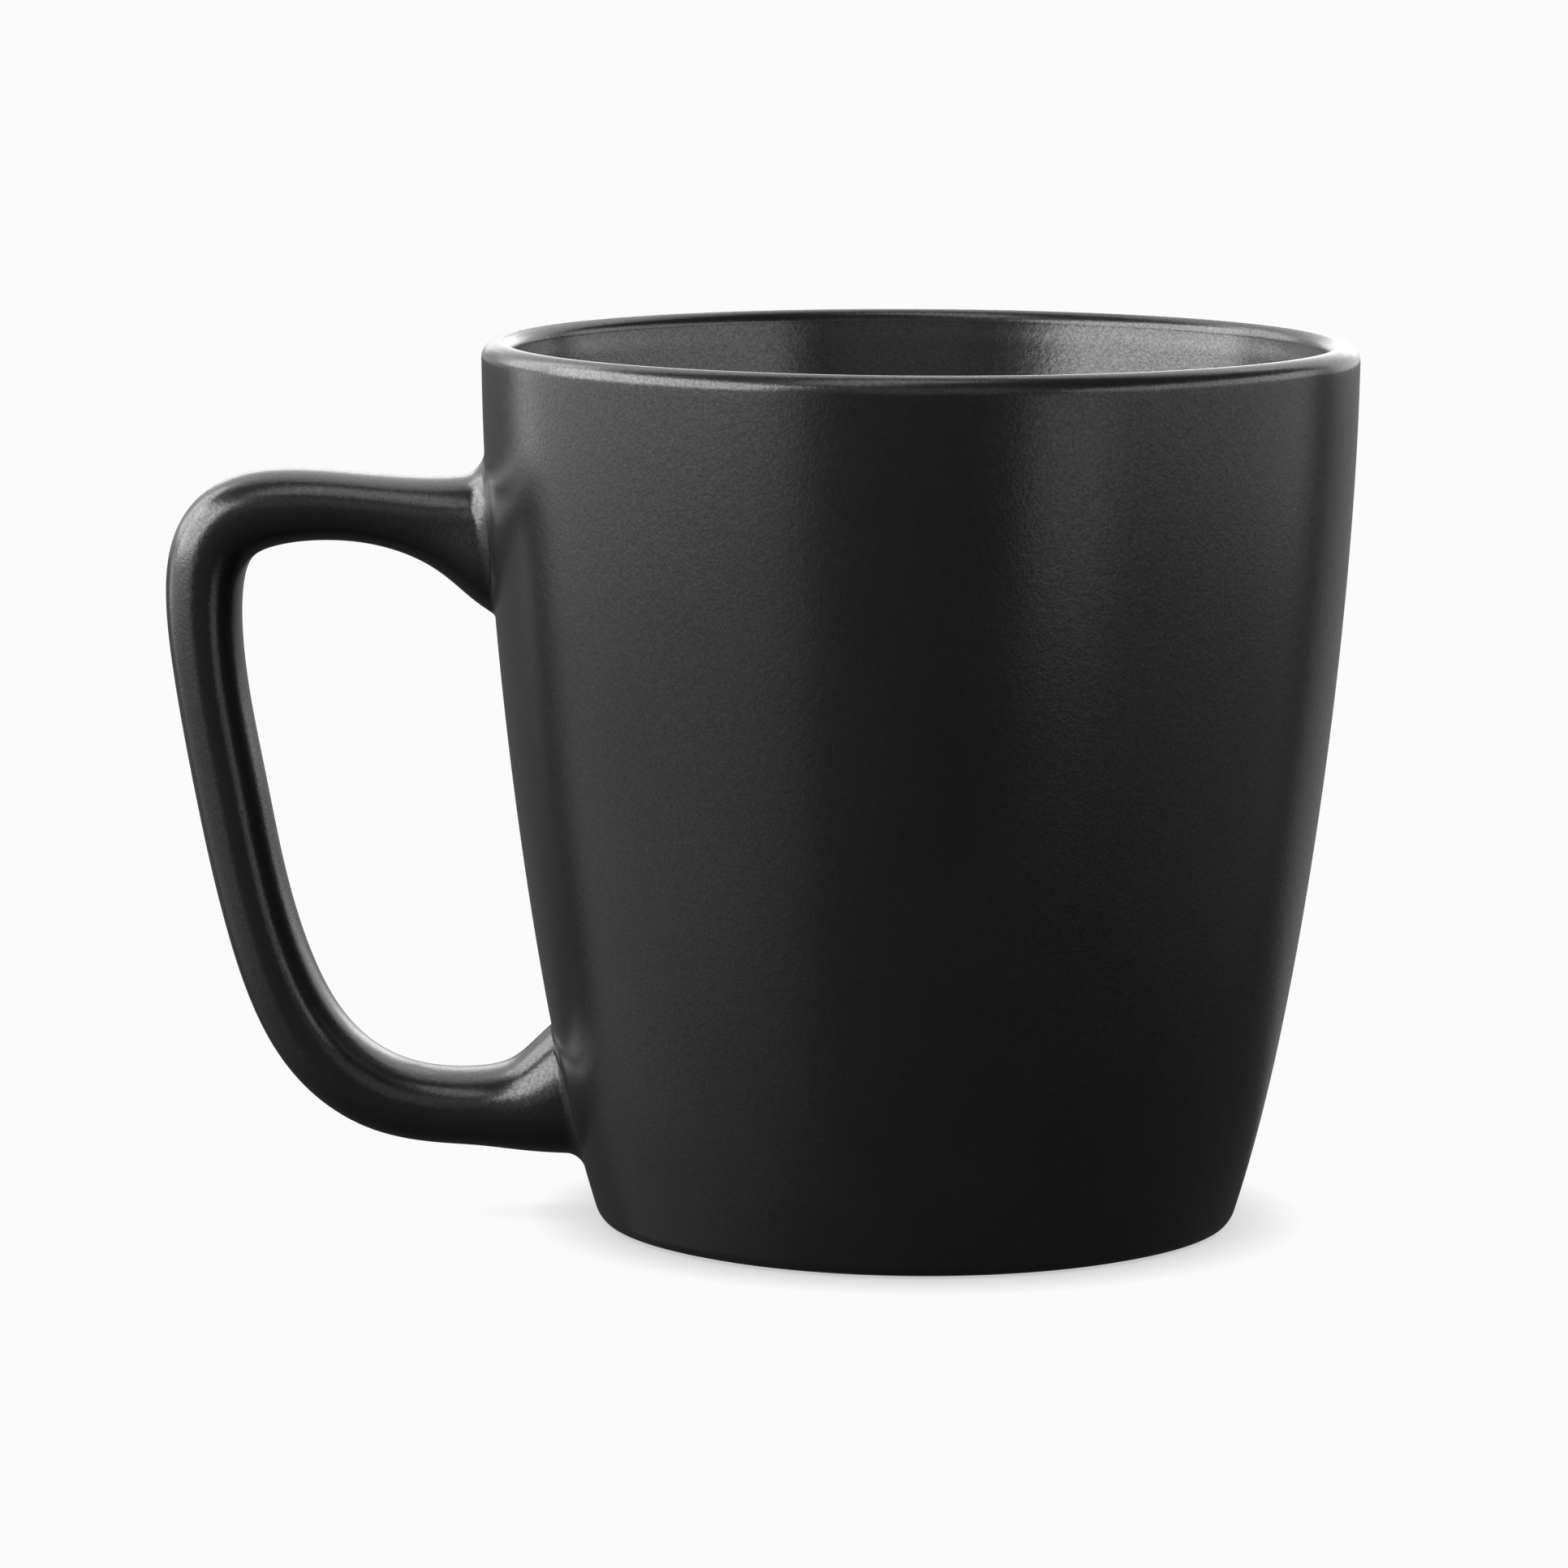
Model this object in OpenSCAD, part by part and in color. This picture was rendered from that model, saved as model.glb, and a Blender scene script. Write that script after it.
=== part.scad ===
// Ceramic mug: a thrown stoneware cup with a pulled handle luted to its side, black glaze over all
// of it but the foot ring. Every piece is a body of revolution about the Z axis or a swept oval.
// The cup stands on z = 0 with its axis on Z, and the handle reaches out along -X.

/* [Cup] */
// Outside diameter of the glazed rim
rim_d = 98; // [80:0.5:120]
// Height of the glazed mug, from the table to the top of the lip
cup_h = 99.4; // [80:0.2:122]
// How far the side draws in between rim and foot
side_taper = 11.8; // [8:0.1:15]
// Shape of that draw: 1 is a straight cone, more keeps the upper side upright
side_power = 1.75; // [1.4:0.05:2.4]
// Extra tuck of the side close above the foot
foot_tuck = 1.5; // [0:0.1:3]
// Bare wall thickness just under the lip
wall_t = 2.8; // [2.2:0.1:4.5]
// Bare wall thickness below the thinned rim
wall_full_t = 4.8; // [3.6:0.1:6]
// Depth below the lip over which the wall thins towards the rim
thin_h = 24; // [12:1:40]
// Bare floor thickness over the hollow of the base
floor_t = 4.6; // [3.5:0.1:7]
// Radius of the corner between wall and floor inside
floor_r = 14; // [4:0.5:20]
// Outer rounding of the bare lip
lip_r = 1.6; // [0.8:0.1:1.8]

/* [Foot] */
// Rounding between the side and the foot ring
foot_r = 2.4; // [1.5:0.1:3.5]
// Width of the bare ring that stands on the table
foot_w = 3.4; // [2:0.1:6]
// Depth of the hollow under the base
recess_h = 1.8; // [1:0.1:3]
// Width of the slope from the foot ring up into that hollow
recess_slope = 4; // [2.5:0.1:6]
// Height of the bare clay between the table and the edge of the glaze
bare_h = 0.7; // [0.5:0.05:0.9]

/* [Glaze and slip] */
// Thickness of the fired glaze
glaze_t = 0.35; // [0.25:0.05:0.5]
// Thickness of the slip that bonds the handle to the cup
slip_t = 0.6; // [0.4:0.05:1]

/* [Handle] */
// Level of the upper bar's middle below the top of the lip
handle_drop = 18.7; // [16:0.1:26]
// Level of the lower bar's middle above the table
handle_rise = 12.1; // [11.5:0.1:16]
// How far the outermost control point of the grip stands out from the rim
handle_reach = 32; // [28:0.5:42]
// Thickness of the glazed grip, seen from the side
grip_t = 8.5; // [7:0.1:11]
// Width of the glazed grip, seen from its end
grip_w = 13; // [10:0.5:17]
// Squareness of the oval section: 2 is an ellipse
grip_power = 2.3; // [2:0.1:3]
// Cove between the handle and the cup above the upper root
upper_cove_r = 3.1; // [1.5:0.1:5]
// Cove between the handle and the cup below the lower root
lower_cove_r = 2; // [1:0.1:3]
// Cove on the sides that face the fingers
finger_cove_r = 0.7; // [0.4:0.1:1.5]

/* [Hidden] */
clay_rim_r = rim_d / 2 - glaze_t;
clay_h = cup_h - glaze_t;
tuck_power = 8;
floor_z = recess_h + floor_t;
lip_in_r = wall_t - lip_r;
bar_top_z = cup_h - handle_drop;
bar_low_z = handle_rise;
clay_colour = [0.62, 0.58, 0.53];
slip_colour = [0.5, 0.46, 0.42];
glaze_colour = [0.11, 0.11, 0.115];

// How finely each curve is drawn
side_steps = 32;
arc_steps = 8;
foot_steps = 4;
ring_steps = 3;
corner_steps = 12;
ring_sides = 24;
rings_per_span = 5;
turn_fn = 96;
lean_span = 0.5;
// Spans of the handle that hold each root
root_spans = 3;

// Control points of the handle, from the upper root inside the wall round to the lower root:
// [share of the reach beyond the rim, share of the height between the bars,
//  thickness and width as shares of the grip's]
HANDLE = [
    [-0.5, 0.92, 2.9, 1.45],
    [-0.265, 0.935, 2.59, 1.4],
    [-0.047, 0.95, 2, 1.3],
    [0.11, 0.97, 1.15, 1.12],
    [0.422, 1, 0.8, 1],
    [0.86, 1, 1.1, 0.96],
    [1, 0.91, 1.04, 0.96],
    [0.968, 0.715, 0.91, 1],
    [0.887, 0.525, 0.96, 1],
    [0.81, 0.335, 0.91, 1],
    [0.652, 0.115, 1.01, 0.98],
    [0.36, 0.005, 1.03, 0.96],
    [0, 0, 0.94, 1],
    [-0.19, 0.005, 1.33, 1.16],
    [-0.47, 0.06, 2.4, 1.4],
    [-0.8, 0.1, 2.4, 1.4]
];
spans = len(HANDLE) - 3;
last_ring = spans * rings_per_span;
root_rings = root_spans * rings_per_span;

// --- Outline of the cup: points [r, z], from the middle of the base out, up and back in ---

// Radius of the bare side at height z
function side_at(z) =
    let (t = 1 - z / clay_h)
    clay_rim_r - side_taper * pow(max(t, 0), side_power) - foot_tuck * pow(max(t, 0), tuck_power);

// Radius of the bare hollow at height z. The wall thickens from the lip along a quarter of a sine
function hollow_at(z) =
    side_at(z) - wall_t - (wall_full_t - wall_t) * sin(90 * min((clay_h - z) / thin_h, 1));

// Lean of the side from upright at height z, in degrees, from its radius a little above and below
function lean_at(z) = atan((side_at(z + lean_span) - side_at(z - lean_span)) / (2 * lean_span));

function arc(centre, r, from, to, steps) = [
    for (i = [0:steps])
        let (a = from + (to - from) * i / steps)
        centre + r * [cos(a), sin(a)]
];

// The foot's rounding is tangent to the table and to the side
foot_lean = lean_at(foot_r);
foot_top_z = foot_r * (1 - sin(foot_lean));
foot_mid = [side_at(foot_top_z) - foot_r * cos(foot_lean), foot_r];
bare_angle = -asin((foot_r - bare_h) / foot_r);

// The floor's corner is tangent to the hollow and to the floor
corner_lean = lean_at(floor_z + floor_r);
corner_top_z = floor_z + floor_r * (1 - sin(corner_lean));
corner_mid = [hollow_at(corner_top_z) - floor_r * cos(corner_lean), floor_z + floor_r];

lip_mid_r = clay_rim_r - lip_r;
lip_low_z = clay_h - lip_r;
hollow_low_z = clay_h - lip_in_r;

ring_in_r = foot_mid[0] - foot_w;
flat_r = ring_in_r - recess_slope;

// The slope from the ring up into the base is half a cosine wave
function slope_point(u) = [flat_r + recess_slope * u, recess_h * (1 + cos(180 * u)) / 2];
bare_share = acos(2 * bare_h / recess_h - 1) / 180;

base_part = concat([[0, recess_h]], [for (i = [0:arc_steps]) slope_point(bare_share * i / arc_steps)]);
ring_part = concat(
    [for (i = [1:ring_steps]) slope_point(bare_share + (1 - bare_share) * i / ring_steps)],
    arc(foot_mid, foot_r, -90, bare_angle, foot_steps)
);
side_part = concat(
    arc(foot_mid, foot_r, bare_angle, -foot_lean, foot_steps),
    [for (i = [1:side_steps - 1])
        let (z = foot_top_z + (lip_low_z - foot_top_z) * i / side_steps)
        [side_at(z), z]],
    arc([lip_mid_r, lip_low_z], lip_r, 0, 90, arc_steps)
);
hollow_part = concat(
    arc([lip_mid_r, hollow_low_z], lip_in_r, 90, 180, arc_steps),
    [for (i = [1:side_steps - 1])
        let (z = hollow_low_z + (corner_top_z - hollow_low_z) * i / side_steps)
        [hollow_at(z), z]],
    arc(corner_mid, floor_r, -corner_lean, -90, corner_steps),
    [[0, floor_z]]
);

// Outward direction of an outline at point i, from its neighbours
function outward(points, i) =
    let (a = points[max(i - 1, 0)], b = points[min(i + 1, len(points) - 1)], d = (b - a) / norm(b - a))
    [d[1], -d[0]];

// The same outline moved outwards by t. The two ends stay square: a crest moves up, a middle along Z
function grown(points, t, first = undef, last = undef) = [
    for (i = [0:len(points) - 1])
        let (n = i == 0 && first != undef ? first
               : i == len(points) - 1 && last != undef ? last
               : outward(points, i))
        points[i] + t * n
];

function reversed(points) = [for (i = [len(points) - 1:-1:0]) points[i]];

module turned(points) rotate_extrude($fn = turn_fn) polygon(points);

// A coat of thickness t on an outline
module coat(points, t, first = undef, last = undef)
    turned(concat(grown(points, t, first, last), reversed(points)));

// The whole space inside the side, its outer face moved outwards by t
module cup_space(t) {
    skin = grown(side_part, t, last = [0, 1]);
    turned(concat([[0, skin[0][1]]], skin, [[0, skin[len(skin) - 1][1]]]));
}

// --- Handle: rings of points along a uniform cubic B-spline ---

// The four weights of a span at t from 0 to 1, and their slopes
function weights(t) = [
    pow(1 - t, 3) / 6,
    (3 * pow(t, 3) - 6 * t * t + 4) / 6,
    (3 * t * t - 3 * pow(t, 3) + 3 * t + 1) / 6,
    pow(t, 3) / 6
];
function slopes(t) = [
    -pow(1 - t, 2) / 2,
    (3 * t * t - 4 * t) / 2,
    (2 * t - 3 * t * t + 1) / 2,
    t * t / 2
];

function control(i) =
    let (c = HANDLE[i])
    [-(rim_d / 2 + c[0] * handle_reach), bar_low_z + c[1] * (bar_top_z - bar_low_z),
     c[2] * grip_t / 2 - glaze_t, c[3] * grip_w / 2 - glaze_t];

function mixed(k, w) =
    w[0] * control(k) + w[1] * control(k + 1) + w[2] * control(k + 2) + w[3] * control(k + 3);

// Radius of the cove at an angle round the ring: the outer side, then the side towards the fingers
function cove_r(outer, angle) = finger_cove_r + (outer - finger_cove_r) * (1 + cos(angle)) / 2;

// How far a cove of radius r stands out at distance d from the wall
function cove(d, r) = d >= r ? 0 : r - sqrt(r * r - pow(r - max(d, 0), 2));

function oval(v) = sign(v) * pow(abs(v), 2 / grip_power);

// Ring i of the handle's skin, its surface moved outwards by t
function ring(i, t) =
    let (
        k = min(floor(i / rings_per_span), spans - 1),
        u = i / rings_per_span - k,
        c = mixed(k, weights(u)),
        d = mixed(k, slopes(u)),
        run = norm([d[0], d[1]]),
        n = [d[1], -d[0]] / run,
        outer = i < last_ring / 2 ? upper_cove_r : lower_cove_r
    )
    [for (j = [0:ring_sides - 1])
        let (
            a = 360 * j / ring_sides,
            p = ring_point(c, n, a, 0),
            from_wall = norm([p[0], p[1]]) - side_at(p[2])
        )
        ring_point(c, n, a, t + cove(from_wall, cove_r(outer, a)))];

function ring_point(c, n, a, grow) =
    let (across = (c[2] + grow) * oval(cos(a)))
    [c[0] + n[0] * across, (c[3] + grow) * oval(sin(a)), c[1] + n[1] * across];

// The solid between rings first and last, its skin moved outwards by t
module loft(first, last, t) {
    points = [for (i = [first:last]) each ring(i, t)];
    far = len(points) - ring_sides;
    sides = [
        for (i = [0:ring_sides:far - 1])
            for (j = [0:ring_sides - 1])
                let (a = i + j, b = i + (j + 1) % ring_sides)
                [a + ring_sides, b + ring_sides, b, a]
    ];
    caps = [[for (j = [0:ring_sides - 1]) j], [for (j = [ring_sides - 1:-1:0]) far + j]];
    polyhedron(points, concat(sides, caps), convexity = 6);
}

module upper_root() loft(0, root_rings, 0);
module lower_root() loft(last_ring - root_rings, last_ring, 0);

// --- The pieces ---

// Thrown cup: wall, lip, floor and bare foot ring in one piece of clay
module cup_body() color(clay_colour)
    turned(concat(base_part, ring_part, side_part, hollow_part));

// Pulled handle, its two ends cut to the side of the cup
module handle() color(clay_colour)
    difference() {
        loft(0, last_ring, 0);
        cup_space(slip_t);
    }

// Slip between a root of the handle and the cup
module slip_joint() color(slip_colour)
    difference() {
        intersection() {
            children();
            cup_space(slip_t);
        }
        cup_space(0);
    }

module upper_slip_joint() slip_joint() upper_root();

module lower_slip_joint() slip_joint() lower_root();

// Glaze on the outside, from the bare line above the foot to the crest of the lip
module outer_glaze() color(glaze_colour)
    difference() {
        coat(side_part, glaze_t, last = [0, 1]);
        upper_root();
        lower_root();
    }

// Glaze in the hollow, from the crest of the lip down over the floor
module liner_glaze() color(glaze_colour)
    coat(hollow_part, glaze_t, first = [0, 1], last = [0, 1]);

// Glaze on the handle and over the edges of the slip joints
module handle_glaze() color(glaze_colour)
    difference() {
        loft(0, last_ring, glaze_t);
        loft(0, last_ring, 0);
        cup_space(glaze_t);
    }

// Glaze in the hollow under the base
module base_glaze() color(glaze_colour)
    coat(base_part, glaze_t, first = [0, -1]);

cup_body();
handle();
upper_slip_joint();
lower_slip_joint();
outer_glaze();
liner_glaze();
handle_glaze();
base_glaze();
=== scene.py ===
# %% [markdown]
# # A satin black stoneware mug
#
# The mug is one turned lump of stoneware with a handle stuck to its side, and a black glaze covers
# all of it but the ring that it stands on. Nothing on it moves. Every piece here is a surface worked
# out with numpy: a shape is a function of two parameters, sampled on a grid, and the grid becomes a
# mesh.
#
# The CAD model is loaded first, because it is the frame that everything has to fit.

# %% Load the frame
import math

import bpy
import numpy as np
from mathutils import Matrix, Vector


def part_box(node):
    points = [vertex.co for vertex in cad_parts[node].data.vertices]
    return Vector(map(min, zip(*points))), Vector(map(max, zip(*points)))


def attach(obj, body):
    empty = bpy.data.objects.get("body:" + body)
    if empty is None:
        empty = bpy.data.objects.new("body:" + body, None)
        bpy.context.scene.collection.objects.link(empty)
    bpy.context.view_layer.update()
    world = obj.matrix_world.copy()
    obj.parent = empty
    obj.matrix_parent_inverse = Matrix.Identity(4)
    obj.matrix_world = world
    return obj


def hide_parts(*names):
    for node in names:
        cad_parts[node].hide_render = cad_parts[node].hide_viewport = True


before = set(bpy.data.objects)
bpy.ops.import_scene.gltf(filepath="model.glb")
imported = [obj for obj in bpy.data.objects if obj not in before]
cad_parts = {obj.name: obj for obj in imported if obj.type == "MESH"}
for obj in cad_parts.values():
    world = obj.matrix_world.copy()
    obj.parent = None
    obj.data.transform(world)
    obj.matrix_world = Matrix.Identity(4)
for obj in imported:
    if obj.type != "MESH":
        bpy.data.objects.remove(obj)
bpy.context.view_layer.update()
print("frame:", sorted(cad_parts))

# %% [markdown]
# ## Sizes
#
# The cup's height and rim come from the boxes of the CAD pieces. The glaze is a coat of even
# thickness, so its thickness is how much higher the glazed rim stands than the bare clay. The other
# sizes are the few that the design is drawn with.

# %% Read the sizes
MM = 0.001
CUP_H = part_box("outer_glaze")[1].z
CLAY_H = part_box("cup_body")[1].z
GLAZE_T = CUP_H - CLAY_H
RIM_R = 49.0 * MM
CLAY_RIM_R = RIM_R - GLAZE_T

SIDE_TAPER = 11.8 * MM
SIDE_POWER = 1.75
FOOT_TUCK = 1.5 * MM
TUCK_POWER = 8
WALL_T = 2.8 * MM
WALL_FULL_T = 4.8 * MM
THIN_H = 24.0 * MM
RECESS_H = 1.8 * MM
RECESS_SLOPE = 4.0 * MM
FLOOR_Z = RECESS_H + 4.6 * MM
FLOOR_R = 14.0 * MM
LIP_R = 1.6 * MM
LIP_IN_R = WALL_T - LIP_R
FOOT_R = 2.4 * MM
FOOT_W = 3.4 * MM
BARE_H = 0.7 * MM
SLIP_T = 0.6 * MM
print(f"cup {CUP_H / MM:.1f} high, {2 * RIM_R / MM:.1f} across the rim, glaze {GLAZE_T / MM:.2f} mm")

# %% [markdown]
# ## From a grid to a mesh
#
# A mesh is a list of points and a list of faces that name the points by number. A grid of points
# gives its faces by shifting the grid by one row and one column, so no loop over the points is
# needed. A coat of glaze is a closed shell: the outer skin, the skin that lies on the clay with its
# faces turned over, and a band along each edge that joins the two. The Solidify modifier also makes
# a shell, but this way the inner skin lies exactly on the clay.

# %% Mesh helpers
EDGE_ANGLE = math.radians(50)


def numbered(*blocks):
    """Joins blocks of points into one list. Returns it, and the numbers of each block's points in
    the shape of that block."""
    shapes = [block.shape[:-1] for block in blocks]
    ends = np.cumsum([math.prod(shape) for shape in shapes])
    numbers = [np.arange(e - math.prod(s), e).reshape(s) for e, s in zip(ends, shapes)]
    return np.concatenate([block.reshape(-1, 3) for block in blocks]), numbers


def skin(rows):
    """Quads between each row of point numbers and the next, where every row is a closed ring. The
    result has a row of quads fewer than there are rows of points."""
    beside = np.roll(rows, -1, axis=1)
    return np.stack([rows[:-1], beside[:-1], beside[1:], rows[1:]], axis=-1)


def fan(ring, middle):
    """Triangles from a closed ring of point numbers to one point in its middle."""
    return np.stack([ring, np.roll(ring, -1), np.full(ring.shape, middle)], axis=-1)


def volume_inside(points, triangles):
    """The sum of the signed tetrahedra from the origin to each triangle, which is above zero when
    the faces of a closed mesh point outwards."""
    a, b, c = (points[triangles[:, i]] for i in range(3))
    return float(np.einsum("ij,ij->", a, np.cross(b, c)) / 6)


def open_edges(triangles):
    """How many edges aren't passed once each way, which is none on a closed mesh."""
    start, end = triangles.ravel(), np.roll(triangles, -1, axis=1).ravel()
    there, back = np.minimum(start, end), np.maximum(start, end)
    turns = np.where(start < end, 1, -1)
    _, edge = np.unique(there.astype(np.int64) << 32 | back, return_inverse=True)
    return int(np.count_nonzero(np.bincount(edge, turns)) + np.count_nonzero(np.bincount(edge) != 2))


def make_piece(name, points, quads, triangles, material, slot):
    """Makes one closed piece that stands for the CAD node of the same name."""
    quads = np.concatenate([block.reshape(-1, 4) for block in quads])
    triangles = np.concatenate([block.reshape(-1, 3) for block in triangles] + [np.empty((0, 3), int)])
    used, corners = np.unique(np.concatenate([quads.ravel(), triangles.ravel()]), return_inverse=True)
    points = points[used]
    quads, triangles = corners[: quads.size].reshape(-1, 4), corners[quads.size :].reshape(-1, 3)
    halves = np.concatenate([quads[:, [0, 1, 2]], quads[:, [0, 2, 3]], triangles])
    volume = volume_inside(points, halves)
    if volume < 0:
        quads, triangles = quads[:, ::-1], triangles[:, ::-1]
    sizes = np.repeat([4, 3], [len(quads), len(triangles)])
    corners = np.concatenate([quads.ravel(), triangles.ravel()]).astype(np.int32)
    mesh = bpy.data.meshes.new(name + "_piece")
    mesh.vertices.add(len(points))
    mesh.vertices.foreach_set("co", points.astype(np.float32).ravel())
    mesh.loops.add(len(corners))
    mesh.loops.foreach_set("vertex_index", corners)
    mesh.polygons.add(len(sizes))
    mesh.polygons.foreach_set("loop_start", (np.cumsum(sizes) - sizes).astype(np.int32))
    mesh.update(calc_edges=True)
    mesh.shade_smooth()
    mesh.set_sharp_from_angle(angle=EDGE_ANGLE)
    mesh.materials.append(material)
    piece = bpy.data.objects.new(name + "_piece", mesh)
    bpy.context.scene.collection.objects.link(piece)
    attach(piece, "root")
    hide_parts(name)
    size = f"{len(halves)} triangles, {abs(volume) / MM**3:.0f} mm3"
    print(f"{name}: {size}, {open_edges(halves)} open edges")
    return piece


# %% [markdown]
# ## The cup's outline
#
# A thrown cup is a body of revolution, so one outline of radius against height is its whole shape.
# The side is a power curve: almost upright at the rim and drawn in more and more towards the foot,
# where a second, sharper power adds the last tuck. The foot, the lip and the inside corner are true
# arcs that meet their neighbours at the same slope, because a highlight breaks where a slope does.

# %% Outline functions
QUARTER = math.pi / 2


def side_slope(z):
    """How much the side's radius grows for each unit of height: the derivative of side_radius."""
    t = np.clip(1 - z / CLAY_H, 0, None)
    draw_in = SIDE_TAPER * SIDE_POWER * t ** (SIDE_POWER - 1)
    tuck = FOOT_TUCK * TUCK_POWER * t ** (TUCK_POWER - 1)
    return (draw_in + tuck) / CLAY_H


def side_radius(z, lift=0.0):
    """The side's radius at a height. With t the share of the way down from the rim, it is the rim's
    radius less taper times t to the power 1.75, less tuck times t to the power 8. A lift along the
    surface's normal widens the radius by the lift over the cosine of the side's lean."""
    t = np.clip(1 - z / CLAY_H, 0, None)
    bare = CLAY_RIM_R - SIDE_TAPER * t**SIDE_POWER - FOOT_TUCK * t**TUCK_POWER
    return bare + lift * np.sqrt(1 + side_slope(z) ** 2)


def hollow_radius(z, lift=0.0):
    """The hollow's radius at a height: the side's radius less the wall, which thickens from the lip
    down along a quarter of a sine wave. A lift moves the surface into the hollow."""
    wall = WALL_T + (WALL_FULL_T - WALL_T) * np.sin(QUARTER * np.clip((CLAY_H - z) / THIN_H, 0, 1))
    return side_radius(z) - wall - lift * np.sqrt(1 + side_slope(z) ** 2)


def arc(middle, radius, start, end, steps):
    """Outline points on an arc round a middle, from one angle to another in radians."""
    angle = np.linspace(start, end, steps + 1)
    return np.stack([middle[0] + radius * np.cos(angle), middle[1] + radius * np.sin(angle)], axis=-1)


def turned(outline, columns):
    """Turns an outline of radius and height round the cup's axis. Columns start at +X and run
    towards +Y. Returns a grid of points, one row for each outline point."""
    angle = np.linspace(0, 2 * math.pi, columns, endpoint=False)
    radius, height = outline[:, :1], outline[:, 1:]
    return np.stack(
        [radius * np.cos(angle), radius * np.sin(angle), height + 0 * angle], axis=-1
    )


foot_lean = math.atan(side_slope(FOOT_R))
foot_top_z = FOOT_R * (1 - math.sin(foot_lean))
foot_mid = (side_radius(foot_top_z) - FOOT_R * math.cos(foot_lean), FOOT_R)
bare_angle = -math.asin((FOOT_R - BARE_H) / FOOT_R)
corner_lean = math.atan(side_slope(FLOOR_Z + FLOOR_R))
corner_top_z = FLOOR_Z + FLOOR_R * (1 - math.sin(corner_lean))
corner_mid = (hollow_radius(corner_top_z) - FLOOR_R * math.cos(corner_lean), FLOOR_Z + FLOOR_R)
lip_mid_r = CLAY_RIM_R - LIP_R
lip_low_z = CLAY_H - LIP_R
print(f"foot ring {2 * foot_mid[0] / MM:.1f} mm across, leaning {math.degrees(foot_lean):.1f} degrees")

# %% [markdown]
# ## The handle's path
#
# The handle is a strip of clay bent into a loop with both ends pressed against the side. Its centre
# line is a uniform cubic B-spline, which stays smooth to its curvature whatever its control points
# do. Each control point also carries the strip's thickness and width there, so the same blend gives
# the taper from the thick roots to the slim grip.

# %% Control points of the handle
HANDLE_REACH = 32.0 * MM
BAR_TOP_Z = CUP_H - 18.7 * MM
BAR_LOW_Z = 12.1 * MM
GRIP_T = 8.5 * MM
GRIP_W = 13.0 * MM
GRIP_POWER = 2.3

# Each row: share of the reach beyond the rim, share of the height between the bars, and the
# thickness and the width as shares of the grip's
HANDLE_SHARES = np.array(
    [
        [-0.5, 0.92, 2.9, 1.45],
        [-0.265, 0.935, 2.59, 1.4],
        [-0.047, 0.95, 2, 1.3],
        [0.11, 0.97, 1.15, 1.12],
        [0.422, 1, 0.8, 1],
        [0.86, 1, 1.1, 0.96],
        [1, 0.91, 1.04, 0.96],
        [0.968, 0.715, 0.91, 1],
        [0.887, 0.525, 0.96, 1],
        [0.81, 0.335, 0.91, 1],
        [0.652, 0.115, 1.01, 0.98],
        [0.36, 0.005, 1.03, 0.96],
        [0, 0, 0.94, 1],
        [-0.19, 0.005, 1.33, 1.16],
        [-0.47, 0.06, 2.4, 1.4],
        [-0.8, 0.1, 2.4, 1.4],
    ]
)
# Columns: x, z, half the clay's thickness and half its width
handle_control = np.stack(
    [
        -(RIM_R + HANDLE_SHARES[:, 0] * HANDLE_REACH),
        BAR_LOW_Z + HANDLE_SHARES[:, 1] * (BAR_TOP_Z - BAR_LOW_Z),
        HANDLE_SHARES[:, 2] * GRIP_T / 2 - GLAZE_T,
        HANDLE_SHARES[:, 3] * GRIP_W / 2 - GLAZE_T,
    ],
    axis=-1,
)
SPANS = len(handle_control) - 3
print("handle spans:", SPANS)

# %% [markdown]
# The section is a superellipse: a touch squarer than an ellipse, as a strip pulled from soft clay
# is. The section stands across the path in the mug's middle plane, and angle 0 is its outer side,
# away from the fingers.

# %% Handle surface


def along_handle(u):
    """Centre, thickness and width at u spans along the path, and the path's slope there. Each is
    the sum of four control rows with the uniform cubic B-spline's weights."""
    span = np.clip(np.floor(u).astype(int), 0, SPANS - 1)
    t = (u - span)[..., None]
    weights = [(1 - t) ** 3, 3 * t**3 - 6 * t**2 + 4, -3 * t**3 + 3 * t**2 + 3 * t + 1, t**3]
    slopes = [-((1 - t) ** 2), 3 * t**2 - 4 * t, -3 * t**2 + 2 * t + 1, t**2]
    rows = [handle_control[span + i] for i in range(4)]
    value = sum(w * row for w, row in zip(weights, rows)) / 6
    slope = sum(s * row for s, row in zip(slopes, rows)) / 2
    return value, slope


def oval(v):
    """Keeps the sign of v and raises its size to 2 over the superellipse's power."""
    return np.sign(v) * np.abs(v) ** (2 / GRIP_POWER)


def handle_point(u, angle, grow):
    """The point at u spans along the path and an angle round the section: the centre, plus the
    grown half thickness times oval(cos angle) along the outward normal, plus the grown half width
    times oval(sin angle) along Y."""
    value, slope = along_handle(u)
    length = np.hypot(slope[..., 0], slope[..., 1])
    out = (value[..., 2] + grow) * oval(np.cos(angle)) / length
    x = value[..., 0] + slope[..., 1] * out
    z = value[..., 1] - slope[..., 0] * out
    y = (value[..., 3] + grow) * oval(np.sin(angle))
    return np.stack([x, y + 0 * x, z], axis=-1)


def wall_gap(points, lift):
    """How far points stand off the cup's side, measured level."""
    return np.hypot(points[..., 0], points[..., 1]) - side_radius(points[..., 2], lift)


# %% [markdown]
# ## Where the handle meets the side
#
# The potter wipes the joint with a wet sponge, which leaves a small cove: wide on the outside, and
# almost none on the finger side. A cove is a quarter circle that leaves the handle's surface and
# ends flat on the wall. At each angle round the handle, the arc's own angle gives both how far the
# section has grown and how far the point still stands off the wall, so the cove meets both surfaces
# without a crease. A boolean with a bevel would leave long thin faces just where the gloss shows
# them.

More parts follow.
